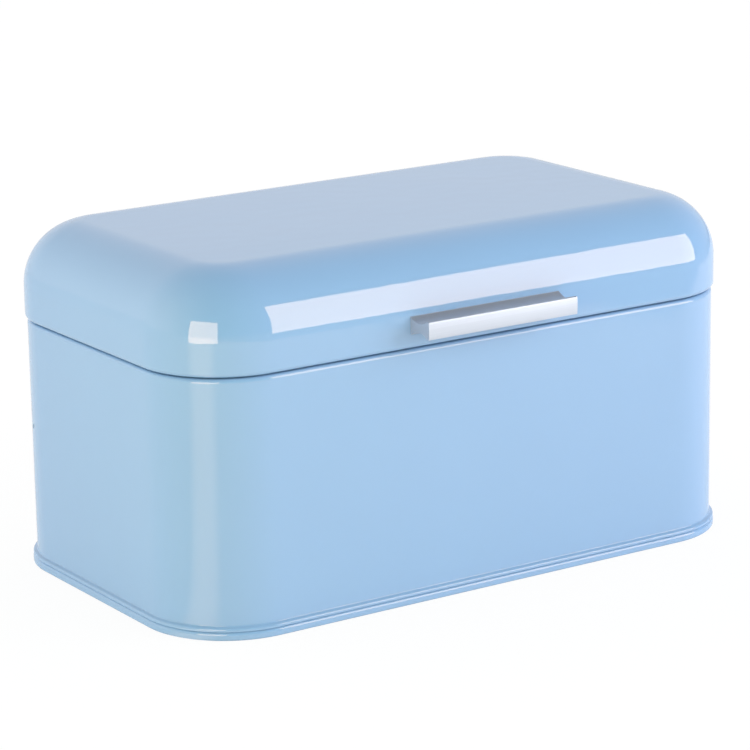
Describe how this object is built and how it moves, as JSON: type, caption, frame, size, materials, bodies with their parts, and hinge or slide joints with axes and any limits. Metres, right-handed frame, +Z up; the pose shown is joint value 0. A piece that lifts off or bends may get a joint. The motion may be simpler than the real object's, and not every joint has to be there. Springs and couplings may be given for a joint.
{
  "type": "bread box",
  "caption": "Rounded rectangular sheet metal bread box: a straight tub, a domed lid hinged along the back and a slim bar handle on the lid's front.",
  "frame": {"origin": "on the surface that the box stands on, below the middle of the whole closed box, its handle and hinges included", "axes": "+Z up, +X to the right along the box's length as seen from the front, -Y out of the front, where the handle is"},
  "size_m": [0.4256, 0.2778, 0.2246],
  "materials": {
    "enamel": "gloss powder coat",
    "handle_aluminium": "satin anodised",
    "hinge_steel": "nickel plated",
    "rivet_aluminium": "plain",
    "fastener_steel": "zinc plated"
  },
  "bodies": {
    "tub": {"tub_wall": "enamel", "base_panel": "enamel", "left_hinge_tub_leaf": "hinge_steel", "right_hinge_tub_leaf": "hinge_steel", "left_hinge_pin": "hinge_steel", "right_hinge_pin": "hinge_steel", "left_hinge_tub_rivets": "rivet_aluminium", "right_hinge_tub_rivets": "rivet_aluminium"},
    "lid": {"lid_shell": "enamel", "handle_bar": "handle_aluminium", "left_handle_screw": "fastener_steel", "right_handle_screw": "fastener_steel", "left_handle_washer": "fastener_steel", "right_handle_washer": "fastener_steel", "left_hinge_lid_leaf": "hinge_steel", "right_hinge_lid_leaf": "hinge_steel", "left_hinge_lid_rivets": "rivet_aluminium", "right_hinge_lid_rivets": "rivet_aluminium"}
  },
  "joints": [
    {"name": "lid_hinge", "type": "hinge", "parent": "tub", "child": "lid", "pos_m": [0, 0.13418, 0.1629], "axis": [-1, 0, 0], "range_deg": [0, 105]}
  ]
}
